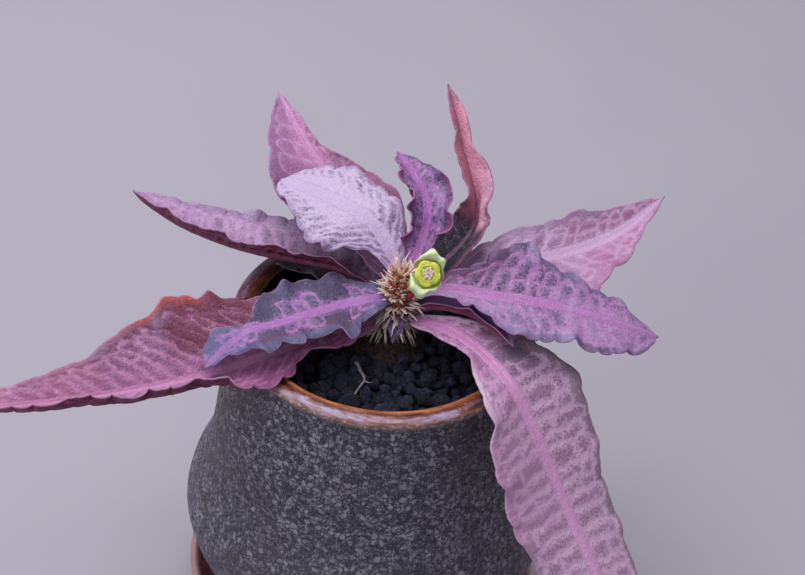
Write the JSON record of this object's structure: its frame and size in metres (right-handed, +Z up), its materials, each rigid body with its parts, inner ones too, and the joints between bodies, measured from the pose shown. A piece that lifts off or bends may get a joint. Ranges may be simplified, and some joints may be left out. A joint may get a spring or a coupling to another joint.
{
  "type": "potted euphorbia francoisii",
  "caption": "Small caudex plant with long waved net-veined leaves, comb-like stem spines and a lime flower, in a gourd-shaped ceramic pot of dark grit on a low glazed saucer.",
  "frame": {"origin": "centre of the saucer's flat underside, on the ground", "axes": "+Z up, +X to the right and +Y away, as seen from the front"},
  "size_m": [0.1471, 0.1106, 0.1109],
  "materials": {
    "saucer_glaze": "gloss",
    "pot_clay": "rough crackled, glazed lip",
    "grit": "rough",
    "dry_root": "rough",
    "stem_bark": "rough",
    "leaf_rose": "satin",
    "leaf_slate": "satin",
    "leaf_mauve": "satin",
    "leaf_dark": "satin",
    "leaf_pale": "satin",
    "leaf_violet": "satin",
    "bract_green": "satin",
    "cup_yellow": "satin"
  },
  "bodies": {
    "root": {"saucer": "saucer_glaze", "pot": "pot_clay", "soil": "grit", "rootlet": "dry_root", "stem": "stem_bark", "leaf_left_low": "leaf_rose", "leaf_left_mid": "leaf_slate", "leaf_left_rear": "leaf_mauve", "leaf_left_shaded": "leaf_dark", "leaf_rear_left": "leaf_rose", "leaf_rear_pale": "leaf_pale", "leaf_upright": "leaf_violet", "leaf_rear_tall": "leaf_rose", "leaf_right_rear": "leaf_mauve", "leaf_right_front": "leaf_mauve", "leaf_right_folded": "leaf_dark", "leaf_front_drooping": "leaf_rose", "leaf_front_small": "leaf_dark", "flower_bracts": "bract_green", "flower_cup": "cup_yellow"}
  },
  "joints": []
}
